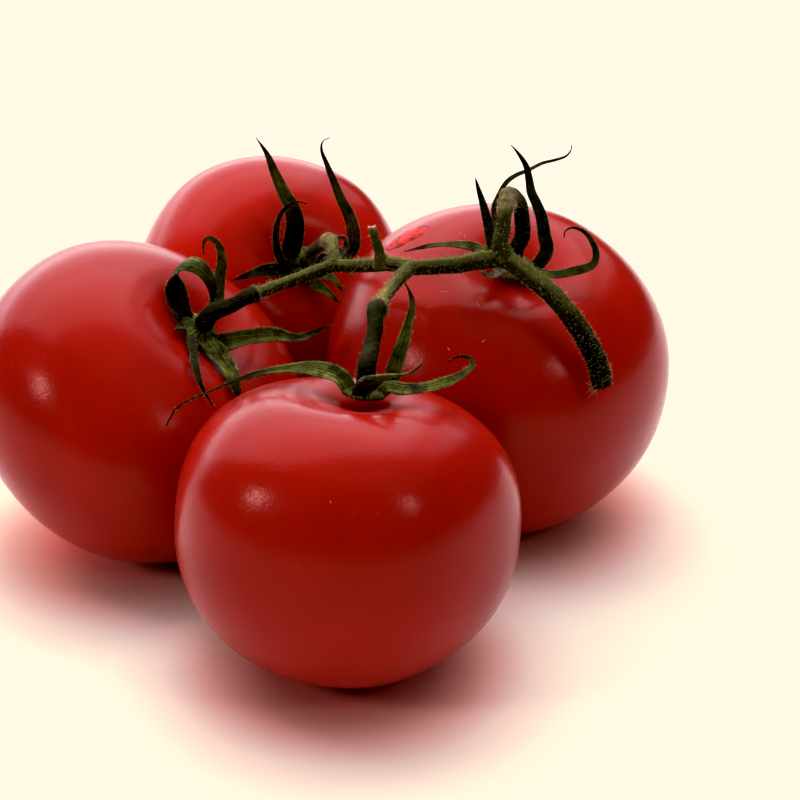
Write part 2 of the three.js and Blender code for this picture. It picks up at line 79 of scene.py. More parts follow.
# %% The collars and the sepals
COLLAR_RADIUS = 4.0
COLLAR_RISE = 0.9
SEPAL_ROOT = 2.8
SEPAL_FOLD = 0.3
SEPAL_TAPER = 0.9
COLLARS = dict(front=[8.5, -51.4, 53.0], left=[-25.1, -11.6, 49.3], back=[-6.9, 39.9, 44.4],
               right=[37.6, -2.0, 59.0])
# Each sepal's list of brightnesses, from root to tip, is painted light and shade along it.
SEPALS = dict(
    front=[
        dict(width=4.0, fold=0.4, taper=3.2, painted_lights=[1.1, 1.1, 0.8, 0.2, 0.15, 0.15, 0.2],
             looks=[[0, -0.6, 1], [0, -0.3, 1]],
             route=[[-4.5, 1.2, 2.4], [-8.5, 3, 3], [-13, 4.3, 2.7], [-20, 4, 1.7], [-28.5, 1, -0.5],
                    [-33.5, -1, -2.5], [-35.5, -2, -5.5]]),
        dict(width=2.8, painted_lights=[0.8, 0.9, 1.1, 1, 0.9, 0.8],
             looks=[[0, -0.5, 1], [0, -0.6, 1], [-0.6, -0.7, 0.4]],
             route=[[4.3, -1, 1.4], [6.6, -2.2, 1.5], [8.8, -3, 1.9], [11.2, -3, 2.3], [13.6, -2.5, 2.8],
                    [15.7, -1.5, 3.2], [17.5, 0, 3.7], [18.9, 1, 4.3], [19.3, 2, 4.9], [18.8, 3, 5.4],
                    [17.4, 3.2, 5.7], [16, 3, 5.5], [15.1, 3, 4.8]]),
        dict(width=3.2, painted_lights=[0.5, 1, 1.1, 1, 0.9],
             looks=[[-0.1, -1, 0.3], [-0.4, -1, 0]],
             route=[[4.5, 2, 0.9], [5, 2.2, 2.6], [5.9, 2.6, 5.3], [6.8, 3.4, 8.1], [7.7, 4.4, 10.8],
                    [8.4, 5.4, 13.4], [8.5, 6.2, 15.4], [7.9, 7.2, 16.9], [7.1, 8, 18.1]]),
        dict(width=4.4, fold=0.4, taper=2.2, painted_lights=[0.12, 0.15, 0.5, 1.2, 1.5, 1.6],
             looks=[[0, 0.9, 0.4], [0, 0.6, 0.8]],
             route=[[-0.4, -3.8, 1.6], [1.6, -5.5, 4.2], [3.9, -6.8, 5.9], [5.4, -7.5, 6.5], [7, -8, 6.9],
                    [8.4, -8, 7.5], [9.6, -7.5, 8.2], [10.5, -7, 9.1]]),
    ],
    left=[
        dict(width=4.6, fold=0.15, taper=0.5, painted_lights=[0.12, 0.1, 0.1, 0.15, 0.5, 1.1, 1, 0.6, 0.2],
             looks=[[0.5, -0.8, 0.2], [0.4, -0.8, -0.1], [0.8, 0, -0.6], [0.1, 0.8, -0.5], [0, 0.8, -0.5]],
             route=[[-2.9, 0.4, 2.4], [-4, 1.2, 5], [-4.7, 2, 7.6], [-5, 2.5, 10], [-4, 2.6, 12],
                    [-2.2, 2.2, 13.1], [0, 1.2, 12.9], [1.9, 0, 11.5], [3, -1, 9.2], [3.1, -1.6, 6.4]]),
        dict(width=3.2, painted_lights=[0.15, 0.6, 1.2, 1.3, 1, 0.6],
             looks=[[0, -1, 0.2], [0, -0.8, 0.6]],
             route=[[2.2, 3, 1.6], [3.1, 3.8, 3.8], [3.5, 4.2, 6.3], [4, 4.5, 9.4], [4.6, 4.5, 12.2],
                    [4.5, 4.5, 14.7], [3.6, 4.5, 16.7], [2.4, 4.4, 17.5], [1.4, 4.2, 17.1],
                    [1.1, 4, 15.9], [1.2, 3.8, 14.6]]),
        dict(width=4.4, fold=0.5, painted_lights=[0.25, 0.6, 0.7, 0.8],
             looks=[[0, -0.7, 0.8], [0, -0.5, 0.9]],
             route=[[3.5, -2.5, -2.5], [9.5, -3, -1], [15, -2.5, -0.5], [19.5, -1.5, -1.5], [23, 0.5, -1],
                    [26, 2.5, 0]]),
        dict(width=4.0, taper=0.4, painted_lights=[0.4, 1, 1.2, 1.1],
             looks=[[0.3, -0.7, 0.7]],
             route=[[2.5, -4, -2], [5.5, -7.5, -4], [7.5, -11.5, -6], [8.5, -14, -8.5]]),
        dict(width=2.1, painted_lights=[0.15],
             looks=[[-0.2, -0.8, 0.6]],
             route=[[-1, -5, 0], [0, -10, -0.7], [0.5, -13.5, -1.7], [2, -17.5, -4.7], [4.5, -19.5, -8.7]]),
        dict(width=2.4, painted_lights=[0.5],
             looks=[[-0.3, -0.8, 0.6]],
             route=[[-3, -3, 1.3], [-4, -6, 2.2]]),
    ],
    back=[
        dict(width=4.8, painted_lights=[0.08, 0.06, 0.06, 0.1, 0.9, 1.6, 1.6, 1.2, 0.6],
             looks=[[0.1, -1, 0.2], [-0.2, -1, 0.2]],
             route=[[-3, -1.2, 2.4], [-2, -3.7, 6.8], [-1.3, -5.5, 11.5], [-1.9, -6, 15.4],
                    [-3.5, -6, 18.6], [-5.4, -6, 23.2], [-7.1, -5.5, 27.4], [-9.5, -5, 31]]),
        dict(width=2.2, painted_lights=[1, 0.8, 0.4, 0.3, 0.4],
             looks=[[0.2, -1, 0.2], [0.2, -1, 0.4]],
             route=[[-4, -1.5, 0.7], [-5.3, -5, 4.2], [-5.6, -7, 8], [-5.1, -8, 12.5], [-3.8, -8, 15.3],
                    [-1.8, -8, 16.9], [-0.1, -7.5, 17.1], [1.2, -7, 16.6]]),
        dict(width=3.8, painted_lights=[0.12, 0.2, 0.9, 1.1, 0.8, 0.6, 0.3],
             looks=[[-0.3, -1, 0.2], [0, -1, 0.2]],
             route=[[4.2, 0.3, 0.9], [9, -3.5, 3], [11.3, -5.5, 6.1], [11.7, -7, 9.3], [10.8, -8, 13.9],
                    [8.8, -8, 18.2], [7.5, -8, 21.7], [5.9, -8, 25.9], [4.8, -7.5, 28.9], [5.1, -7, 30.6],
                    [6.7, -7, 31.4]]),
        dict(width=3.8, painted_lights=[0.1],
             looks=[[0, -0.8, 0.6]],
             route=[[-3.4, -2.8, -0.8], [-6, -5.2, 0.4], [-9, -7.4, 1], [-12.5, -9.2, 0.5],
                    [-15.5, -9.8, -0.3]]),
        dict(width=3.2, painted_lights=[0.4, 0.9, 1.3],
             looks=[[0, -0.9, 0.5]],
             route=[[2.5, -3, -3.5], [5.5, -7, -4], [8.5, -9.5, -6]]),
        dict(width=2.8, painted_lights=[0.4, 0.9, 1.3],
             looks=[[0, -0.9, 0.5]],
             route=[[3.8, -2, -1.5], [7, -7, -1], [9.5, -10, -3.5]]),
        dict(width=2.2, fold=0.5, taper=0.5, withered=True,
             looks=[[0, -0.6, 0.8], [-0.8, -0.6, 0.2], [0, -0.8, -0.6]],
             route=[[4.3, -1.8, 0.4], [7.2, -5.6, 3.2], [9, -8.4, 5.7], [10.2, -9.5, 8.2],
                    [9.5, -10, 10.1], [8.1, -10.5, 9.9], [8, -10.8, 8.2], [8.9, -11, 7.3]]),
    ],
    right=[
        dict(width=3.0, fold=0.2, taper=0.7, painted_lights=[0.2],
             looks=[[-0.2, -1, 0.1], [0, -1, 0.1]],
             route=[[4.6, -2.4, 1.2], [6.4, -3, 4.7], [5.8, -3, 7.9], [5.3, -2.5, 11], [4.2, -2, 13.9],
                    [3.1, -1.5, 16.2], [2.6, -1, 18.8], [1.9, -1, 21.5], [0.3, -1, 24], [-1.1, -1, 25.6]]),
        dict(width=2.6, taper=0.6, painted_lights=[0.9, 0.3, 0.2, 0.2],
             looks=[[0.2, -1, 0.2], [0, -1, 0.1]],
             route=[[-3.2, -2.4, 2], [-4.7, -3.2, 6.9], [-5.5, -4, 10.6], [-6.4, -4, 14.2],
                    [-7.4, -4, 17.4], [-8.1, -4, 19.9]]),
        dict(width=1.2, fold=0.1, taper=0.5, painted_lights=[0.5],
             looks=[[0.3, -0.8, 0.5], [0, -0.7, 0.7]],
             route=[[-1.5, 3.3, 1.8], [-3.1, 5.2, 5.8], [-3.8, 6, 10.5], [-2.9, 7, 12.7], [-1.2, 8, 15.3],
                    [0.7, 9, 16.4], [3.3, 10, 17.2], [6, 10, 18.6], [8.7, 10, 19.3], [10.9, 10, 20.2],
                    [11.7, 10, 21.4], [11.8, 10, 22.4]]),
        dict(width=2.4, fold=0.2, painted_lights=[0.8, 0.7, 0.6, 0.6, 0.5, 0.5],
             looks=[[0, -0.5, 0.9], [0, -0.5, 0.9], [-0.5, -0.9, 0.3], [0, -1, 0], [0, -1, 0]],
             route=[[3.5, -4, 0.2], [7.5, -6, 0.4], [12, -6, 1.3], [15.5, -5, 2.3], [16.2, -4, 4],
                    [15.6, -3.5, 6], [14.3, -3, 7.9], [12.8, -3, 9], [11.2, -3, 9.3], [9.9, -3.5, 8.8],
                    [9.6, -4, 7.6]]),
        dict(width=2.6, painted_lights=[0.7, 0.8, 0.6, 0.6],
             looks=[[0, -0.4, 1]],
             route=[[-3.8, 0.5, 2], [-8.5, 1, 3.8], [-15, 0.5, 4.4], [-22, 1, 2.9]]),
        dict(width=2.4, withered=True,
             looks=[[0, -0.7, 0.7]],
             route=[[-2.5, -4, 0.8], [-4.9, -8.5, 1], [-7.2, -10, 2.7]]),
    ],
)
print({place: len(blades) for place, blades in SEPALS.items()}, "sepals")

# %% The vine and the stalks
# The brightness lists of the vine and of the stalks' near halves are painted light and shade along them.
VINE_MAIN = dict(
    radii=[2.0, 1.95, 1.9, 1.75, 1.5, 1.35, 1.25, 1.15],
    painted_lights=[0.35, 0.4, 0.8, 1.1, 1.0, 1.0, 1.1, 1.3, 1.4, 1.4],
    route=[[54, -25, 43], [52.8, -24.7, 47.8], [50.3, -24, 52.5], [46.9, -22.3, 57.2],
           [43.3, -20, 60.6], [39.2, -16.5, 63], [35.2, -14, 64.8], [30.3, -14.3, 64.7],
           [25.5, -14.7, 64], [20.6, -15, 63.7], [16.4, -15, 63.7], [13.2, -13, 63.6],
           [9.9, -10.5, 62.5], [5.9, -7, 61], [1.8, -5, 60.3], [-2, -5.2, 59.1],
           [-5.2, -6, 58.1], [-9.5, -8, 57.2], [-13.7, -10.5, 56.4]],
)
STUB_TONE = 4.0
BROKEN_STUB = dict(
    radii=[2.0, 1.0, 0.85, 0.75],
    route=[[11.4, -12, 62.9], [10.6, -12.3, 66.5], [9.9, -12, 68.8], [9.3, -11.5, 70.8]],
)
STALKS = dict(
    front=dict(
        near=[[17.2, -15, 63.8], [15.4, -19, 63.7], [13.7, -25, 63.7], [12, -31.5, 63.8],
              [10.7, -38, 63.9]],
        far=[[10.3, -42.5, 62.2], [9.6, -46, 59.5]], facing=[1, 0, 0],
        near_radii=[1.5, 1.2, 1.2, 1.3], far_radii=[1.35, 1.5, 1.75],
        near_painted_lights=[0.8, 1.1, 1.5, 1.6], near_cork=0.7, far_cork=0.0),
    left=dict(
        near=[[-9.5, -8, 57.2], [-13.7, -10.5, 56.4]],
        far=[[-18.5, -11.3, 54.3]], facing=[0, -1, 0],
        near_radii=[1.2, 1.2], far_radii=[1.25, 1.6, 1.9],
        near_painted_lights=[1.4], near_cork=0.4, far_cork=0.0),
    back=dict(
        near=[[1.8, -5, 60.4], [1.4, -2, 61.6], [1, 2, 61.8], [0.2, 6.5, 61.4]],
        far=[[-1.8, 14, 58], [-4.4, 25, 52.3]], facing=[1, 0, 0],
        near_radii=[1.4, 1.1, 1.1], far_radii=[1.0, 1.1, 1.5],
        near_painted_lights=[1.0, 1.2], near_cork=1.0, far_cork=0.9),
    right=dict(
        near=[[35.2, -14, 64.8], [34.3, -13.8, 68], [34.8, -13.3, 70.9], [35, -12.6, 73.7],
              [35.5, -11, 75.2]],
        far=[[38.1, -8.4, 74.6], [38.7, -7, 71.2], [39, -5.5, 66.8]], facing=[1, 0, 0],
        near_radii=[2.1, 1.45, 1.4, 1.35], far_radii=[1.4, 1.5, 1.55],
        near_painted_lights=[1.5, 2.2, 2.2], near_cork=0.8, far_cork=0.9),
)
KNUCKLE_SWELL = 0.4
KNUCKLE_LENGTH = 0.14
KNUCKLE_RUN = 2.0
KNUCKLE_LIP = 0.35
STALK_FOOT = 5.0
print(len(STALKS), "stalks")

# %% [markdown]
# ## Curves and swept shapes
# Sepals, stalks and the vine are long things that bend. Each is made by carrying a profile
# along a smooth curve through a few points. The curve is worked out here in numpy instead of
# with a Blender curve, because every point of the surface is then known, so that ribs, hairs
# and a colour map can follow it.

# %% A smooth curve, read by length
def unit(vectors):
    """Each vector divided by its own length."""
    vectors = np.asarray(vectors, float)
    return vectors / np.linalg.norm(vectors, axis=-1, keepdims=True)


def curve_through(points, steps, fine=60):
    """Points and directions at steps + 1 even lengths of a centripetal Catmull-Rom curve.

    Each stretch between two points is the cubic whose end slopes come from the neighbours, with
    every stretch timed by the square root of its length. The first and last points are carried
    on in a straight line to give them neighbours."""
    p = np.asarray(points, float)
    p = np.vstack([2 * p[0] - p[1], p, 2 * p[-1] - p[-2]])
    time = np.sqrt(np.linalg.norm(np.diff(p, axis=0), axis=1))[:, None]
    before, here, after = time[:-2], time[1:-1], time[2:]
    a, b, c, d = p[:-3], p[1:-2], p[2:-1], p[3:]
    slope_b = ((b - a) / before - (c - a) / (before + here) + (c - b) / here) * here
    slope_c = ((c - b) / here - (d - b) / (here + after) + (d - c) / after) * here
    t = np.linspace(0, 1, fine)[:, None, None]
    dense = b + slope_b * t + (3 * (c - b) - 2 * slope_b - slope_c) * t**2
    dense = dense + (2 * (b - c) + slope_b + slope_c) * t**3
    dense = dense.transpose(1, 0, 2).reshape(-1, 3)
    length = np.concatenate([[0], np.cumsum(np.linalg.norm(np.diff(dense, axis=0), axis=1))])
    keep = np.concatenate([[True], np.diff(length) > 1e-9])
    dense, length = dense[keep], length[keep]
    even = np.linspace(0, length[-1], steps + 1)
    step = length[-1] * 1e-3
    places = (even, np.minimum(even + step, length[-1]), np.maximum(even - step, 0))
    centre, ahead, behind = (np.stack([np.interp(place, length, dense[:, i]) for i in range(3)], 1)
                             for place in places)
    return centre, unit(ahead - behind)


def along(values, share):
    """Values spread evenly from start to end, read at each share of the way by straight lines."""
    values = np.asarray(values, float)
    place = np.linspace(0, 1, len(values))
    if values.ndim == 1:
        return np.interp(share, place, values)
    return np.stack([np.interp(share, place, values[:, i]) for i in range(values.shape[1])], -1)


vine_line = curve_through(VINE_MAIN["route"], 40)[0]
print("the vine is", round(float(np.linalg.norm(np.diff(vine_line, axis=0), axis=1).sum()), 1), "mm long")

# %% A surface as a dictionary of arrays
def grid_faces(rows, columns):
    """Four-sided faces of a tube: rows of points along it, each row a closed ring."""
    row, column = np.meshgrid(np.arange(rows - 1), np.arange(columns), indexing="ij")
    here = row * columns + column
    beside = row * columns + (column + 1) % columns
    return np.stack([here, beside, beside + columns, here + columns], -1).reshape(-1, 4)


def fan(ring, tip):
    """Three-sided faces from a ring of point numbers to one point."""
    return np.stack([ring, np.full(len(ring), tip), np.roll(ring, -1)], -1)


def tube(rings, uv, finish=0, painted_light=1.0):
    """A closed tube from an array of rings, its two ends closed by a point in their middle.

    The last argument is how bright its finish is painted, for light and shade: one number or one for each
    ring."""
    rows, columns = rings.shape[:2]
    painted_light = np.broadcast_to(np.asarray(painted_light, float), rows)
    points = rings.reshape(-1, 3)
    first, last = len(points), len(points) + 1
    points = np.vstack([points, rings[0].mean(0), rings[-1].mean(0)])
    ring = np.arange(columns)
    caps = np.vstack([fan(ring, first), fan(ring[::-1] + (rows - 1) * columns, last)])
    uv = np.vstack([uv.reshape(-1, 2), [[0, 0]], [[0, 1]]])
    return dict(points=points, quads=grid_faces(rows, columns), triangles=caps, uv=uv,
                painted_light=np.concatenate([np.repeat(painted_light, columns), painted_light[[0, -1]]]),
                quad_finish=np.full((rows - 1) * columns, finish),
                triangle_finish=np.full(len(caps), finish))


def join(surfaces):
    """Several surfaces put together as one, with their point numbers moved on."""
    starts = np.cumsum([0] + [len(s["points"]) for s in surfaces[:-1]])
    whole = {key: np.concatenate([s[key] for s in surfaces])
             for key in ("points", "uv", "painted_light", "quad_finish", "triangle_finish")}
    for key in ("quads", "triangles"):
        whole[key] = np.concatenate([s[key] + n for s, n in zip(surfaces, starts)])
    return whole


def swept(centre, direction, looks, across, up):
    """Rings of points: centre + side * across + normal * up.

    The normal is the looks vector made square to the direction, and the side is the direction
    crossed with the normal."""
    looks = looks - (looks * direction).sum(1, keepdims=True) * direction
    normal = unit(looks)
    side = np.cross(direction, normal)
    return centre[:, None] + side[:, None] * across[..., None] + normal[:, None] * up[..., None]


print("surface helpers ready")

# %% [markdown]
# ## From arrays to a piece
# A piece is a Blender mesh at the origin, in metres. It rides on the truss's only body, takes
# the place of one node of the solid model, and names the material slot of its finish. Its UV map
# and a number at each point, how bright it is painted for light and shade, let the finish
# follow the surface.

# %% Make a piece
def into_scene(name, data):
    """A new object that holds the data, put into the scene."""
    thing = bpy.data.objects.new(name, data)
    bpy.context.scene.collection.objects.link(thing)
    return thing


def make_piece(name, surface, node, finishes):
    """A mesh object from a surface's arrays, placed in the frame, put on the root body, and standing in for
    its solid node, which it hides.
    """
    mesh = bpy.data.meshes.new(name)
    quads, triangles = surface["quads"], surface["triangles"]
    corners = np.concatenate([quads.ravel(), triangles.ravel()]).astype(np.int32)
    sizes = np.concatenate([np.full(len(quads), 4), np.full(len(triangles), 3)])
    mesh.vertices.add(len(surface["points"]))
    mesh.vertices.foreach_set("co", (surface["points"] * MM).ravel())
    mesh.loops.add(len(corners))
    mesh.loops.foreach_set("vertex_index", corners)
    mesh.polygons.add(len(sizes))
    mesh.polygons.foreach_set("loop_start", np.concatenate([[0], np.cumsum(sizes)[:-1]]))
    finish_numbers = np.concatenate([surface["quad_finish"], surface["triangle_finish"]])
    mesh.polygons.foreach_set("material_index", finish_numbers)
    layer = mesh.uv_layers.new(name="UVMap")
    layer.data.foreach_set("uv", surface["uv"][corners].ravel())
    mesh.attributes.new("painted_light", "FLOAT", "POINT").data.foreach_set("value", surface["painted_light"])
    mesh.update(calc_edges=True)
    mesh.validate()
    mesh.polygons.foreach_set("use_smooth", np.ones(len(mesh.polygons), bool))
    piece = into_scene(name, mesh)
    for finish in finishes:
        mesh.materials.append(finish)
    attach(piece, "root")
    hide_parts(node)
    print(f"{name}: {sum(sizes - 2)} triangles")
    return piece


# %% [markdown]
# ## Finishes
# Each finish is a Principled shader with noise patterns. Patterns on the fruits read Object
# coordinates, and the sepals' veins read the UV map, whose first number runs across a sepal
# from -1 to 1 and whose second runs from its root at 0 to its tip at 1. The greens are dimmed
# with painted shade wherever they face away from the light above, and are painted brighter or
# darker along each piece for its light and shade.

# %% Helpers for finishes
class Coat:
    """A new material: its shader, the coordinates its patterns read, and ways to add and fill nodes."""

    def __init__(self, name):
        self.material = bpy.data.materials.new(name)
        self.material.use_nodes = True
        self.join = self.material.node_tree.links.new
        self.shader = self.material.node_tree.nodes["Principled BSDF"]
        coordinates = self.add("ShaderNodeTexCoord").outputs
        self.place, self.uv, self.normal = coordinates["Object"], coordinates["UV"], coordinates["Normal"]

    def add(self, kind, **values):
        node = self.material.node_tree.nodes.new(kind)
        for key, value in values.items():
            setattr(node, key, value)
        return node

    def fill(self, socket, value):
        """Gives a socket its value: another node's output, a colour, three numbers or one."""
        if hasattr(value, "node"):
            self.join(value, socket)
        elif socket.type == "RGBA":
            socket.default_value = (*value, 1)
        else:
            socket.default_value = value

    def set(self, sockets):
        """Fills the shader's named sockets and gives the material."""
        for name, value in sockets.items():
            self.fill(self.shader.inputs[name], value)
        return self.material


def number_of(coat, how, *values):
    """The result of a Math node."""
    node = coat.add("ShaderNodeMath", operation=how)
    for socket, value in zip(node.inputs, values):
        coat.fill(socket, value)
    return node.outputs[0]


def vector_of(coat, how, source, other, result="Vector"):
    """The result of a Vector Math node, such as coordinates stretched by three numbers."""
    node = coat.add("ShaderNodeVectorMath", operation=how)
    coat.join(source, node.inputs[0])
    node.inputs[1].default_value = other
    return node.outputs[result]


def parts_of(coat, source):
    """The three numbers that coordinates hold."""
    split = coat.add("ShaderNodeSeparateXYZ")
    coat.join(source, split.inputs[0])
    return split.outputs


def noise_of(coat, source, scale, detail=3.0, roughness=0.5):
    """A noise pattern that reads the given coordinates."""
    noise = coat.add("ShaderNodeTexNoise")
    for name, value in (("Vector", source), ("Scale", scale), ("Detail", detail), ("Roughness", roughness)):
        coat.fill(noise.inputs[name], value)
    return noise.outputs["Fac"]


# %% Helpers for colours and bumps
def ramp_of(coat, source, *stops):
    """A colour ramp from stops, each a place and a colour or a grey."""
    ramp = coat.add("ShaderNodeValToRGB")
    elements = ramp.color_ramp.elements
    while len(elements) < len(stops):
        elements.new(0.5)
    for element, (place, colour) in zip(elements, stops):
        element.position = place
        element.color = (*(colour if isinstance(colour, tuple) else (colour,) * 3), 1)
    coat.join(source, ramp.inputs["Fac"])
    return ramp.outputs["Color"]


def blend_of(coat, share, first, second, how="MIX"):
    """Two colours blended by a share."""
    mix = coat.add("ShaderNodeMix", data_type="RGBA", blend_type=how)
    for number, value in ((0, share), (6, first), (7, second)):
        coat.fill(mix.inputs[number], value)
    return mix.outputs[2]


def dimmed(coat, colour, share):
    """A colour times a share."""
    return blend_of(coat, 1.0, colour, share, "MULTIPLY")


def ranged(coat, source, start, end, first=0.0, last=1.0):
    """A number that goes from first to last while the source goes from start to end."""
    node = coat.add("ShaderNodeMapRange")
    for socket, value in zip(node.inputs, (source, start, end, first, last)):
        coat.fill(socket, value)
    return node.outputs[0]


def bump_of(coat, height, distance, strength=1.0, under=None):
    """A bump from a height pattern, laid over another bump if one is given."""
    bump = coat.add("ShaderNodeBump")
    for name, value in (("Strength", strength), ("Distance", distance), ("Height", height)):
        coat.fill(bump.inputs[name], value)
    if under is not None:
        coat.join(under, bump.inputs["Normal"])
    return bump.outputs["Normal"]


# %% Helpers for where a point is and how it faces
def lit_from_above(coat, least, low=0.52, high=0.92):
    """Painted shade: a grey share that falls from 1 where the surface faces the light above to a least value
    underneath, read from the normal.
    """
    facing = vector_of(coat, "DOT_PRODUCT", coat.normal, (-0.16, 0.34, 0.93), "Value")
    return ramp_of(coat, number_of(coat, "MULTIPLY_ADD", facing, 0.5, 0.5), (low, least), (high, 1))


def own_painted_light(coat):
    """How bright each point of a piece is painted, for the light and shade along it."""
    return coat.add("ShaderNodeAttribute", attribute_name="painted_light").outputs["Fac"]


def distance_of(coat, centre):
    """How far each point is from a centre, in metres."""
    return vector_of(coat, "DISTANCE", coat.place, centre, "Value")


# %% The fruits' skin
SKIN_RED = (0.33, 0.0082, 0.0036)
SKIN_DEEP = (0.25, 0.0056, 0.0028)
SKIN_MIRROR = 0.15
# Painted light: the back fruit's red is painted brighter and the other three fruits' reds a little darker,
# for how the light falls on them.
SKIN_PAINTED_LIGHT = 0.93
BACK_SKIN_PAINTED_LIGHT = 1.2
SCAR_MIDDLE = np.array([16.2, 8.3, 61.8]) * MM
SCAR_RUN = unit([7.0, 1.6, 2.6])
SCAR_LENGTH, SCAR_WIDTH = 4.4 * MM, 2.6 * MM


def scarred(coat, colour, mirror, bump):
    """The skin's colour, mirror and bump with a crumpled lens-shaped scar worked in.

    The scar is where the distances to its two ends add up to less than a set sum."""
    wrinkles = noise_of(coat, vector_of(coat, "MULTIPLY", coat.place, (0.6, 1.0, 2.2)), 420, 3, 0.6)
    ends = [distance_of(coat, SCAR_MIDDLE + side * SCAR_RUN * SCAR_LENGTH) for side in (-1, 1)]
    gap = number_of(coat, "MULTIPLY_ADD", wrinkles, 3 * MM, number_of(coat, "ADD", *ends))
    oval = 2 * math.hypot(SCAR_LENGTH, SCAR_WIDTH) + 1.5 * MM
    patch = ranged(coat, gap, oval + 0.1 * MM, oval - 0.3 * MM)
    crumpled = ramp_of(coat, wrinkles, (0.38, (0.14, 0.003, 0.0015)), (0.50, (0.55, 0.022, 0.010)))
    mirror = number_of(coat, "MULTIPLY", mirror, ranged(coat, patch, 0.0, 1.0, 1.0, 0.15))
    bump = bump_of(coat, number_of(coat, "MULTIPLY", wrinkles, patch), 0.0005, 0.9, bump)
    return blend_of(coat, patch, colour, crumpled), mirror, bump


def skin_finish(name, painted_light, collar, has_scar=False):
    """Deep red waxy skin: two reds in soft patches, sparse pale specks and a fine orange-peel bump.

    It is duller in the hollow round the collar and towards the table. In that hollow its red is painted
    darker, as painted shade, and all its red is scaled by the second argument, as painted light."""
    coat = Coat(name)
    place = coat.place
    patches = noise_of(coat, place, 45, 4)
    fine = noise_of(coat, place, 1400, 2)
    red = ramp_of(coat, patches, (0.3, SKIN_DEEP), (0.75, tuple(c * painted_light for c in SKIN_RED)))
    specks = coat.add("ShaderNodeTexVoronoi")
    specks.inputs["Scale"].default_value = 420
    coat.join(place, specks.inputs["Vector"])
    near = ramp_of(coat, specks.outputs["Distance"], (0.0, 1), (0.16, 0))
    some = ramp_of(coat, noise_of(coat, place, 90, 1), (0.5, 0), (0.7, 0.16))
    colour = blend_of(coat, dimmed(coat, near, some), red, (0.75, 0.10, 0.05))
    hollow = distance_of(coat, [v * MM for v in collar])
    # Painted shade: the red is darkened close to the collar, where the calyx shades the hollow.
    colour = dimmed(coat, colour, ranged(coat, hollow, 0.003, 0.009, 0.7, 1.0))
    mirror = number_of(coat, "MULTIPLY", ranged(coat, hollow, 0.005, 0.012, 0.0, SKIN_MIRROR),
                       ranged(coat, parts_of(coat, place)[2], 0.004, 0.034, 0.3, 1.0))
    bump = bump_of(coat, noise_of(coat, place, 160, 2), 0.00012, 0.5)
    if has_scar:
        colour, mirror, bump = scarred(coat, colour, mirror, bump)
    coat.shader.inputs["Specular IOR Level"].default_value = SKIN_MIRROR
    return coat.set({
        "Base Color": colour, "Roughness": ramp_of(coat, fine, (0.3, 0.18), (0.7, 0.25)), "IOR": 1.45,
        "Specular IOR Level": mirror, "Specular Tint": (1.0, 0.52, 0.42),
        "Subsurface Weight": 0.12, "Subsurface Radius": (1.0, 0.25, 0.1), "Subsurface Scale": 0.002,
        "Normal": bump_of(coat, fine, 0.00006, 0.6, bump)})


skins = {place: skin_finish("skin_" + place, BACK_SKIN_PAINTED_LIGHT if place == "back" else SKIN_PAINTED_LIGHT,
                            COLLARS[place], place == "right") for place in FRUITS}
print(len(skins), "skins")

# %% The sepals' finish
def sepal_finish(name):
    """Green blades with drawn-out paler veins, pale edges, and tips that have dried brown."""
    coat = Coat(name)
    across, length = parts_of(coat, coat.uv)[:2]
    wobble = noise_of(coat, coat.place, 220, 3)
    green = ramp_of(coat, wobble, (0.3, (0.009, 0.009, 0.001)), (0.7, (0.042, 0.042, 0.004)))
    veins = noise_of(coat, vector_of(coat, "MULTIPLY", coat.uv, (6.0, 2.4, 1)), 1.6, 4, 0.65)
    colour = blend_of(coat, ramp_of(coat, veins, (0.47, 0), (0.57, 1)), green, (0.24, 0.235, 0.035))
    edge = ramp_of(coat, number_of(coat, "ABSOLUTE", across), (0.84, 0), (1.0, 0.7))
    colour = blend_of(coat, edge, colour, (0.30, 0.27, 0.08))
    dry = ramp_of(coat, number_of(coat, "MULTIPLY_ADD", wobble, 0.3, length), (0.86, 0), (1.08, 1))
    colour = blend_of(coat, dry, colour, (0.035, 0.016, 0.006))
    mottle = ramp_of(coat, noise_of(coat, coat.place, 420, 4, 0.65), (0.38, 0.2), (0.60, 1.1))
    # Painted shade: the green is dimmed where the blade faces away from the light above.
    colour = dimmed(coat, dimmed(coat, colour, mottle), lit_from_above(coat, 0.5))
    bump = bump_of(coat, veins, 0.00025, 0.8)
    # The green is then painted brighter or darker from root to tip, for the light and shade along the sepal.
    return coat.set({
        "Base Color": dimmed(coat, colour, own_painted_light(coat)), "Roughness": 0.5,
        "Specular IOR Level": 0.05, "Specular Tint": (1.0, 0.95, 0.55),
        "Normal": bump_of(coat, noise_of(coat, coat.place, 1500, 3), 0.00006, 0.8, bump)})


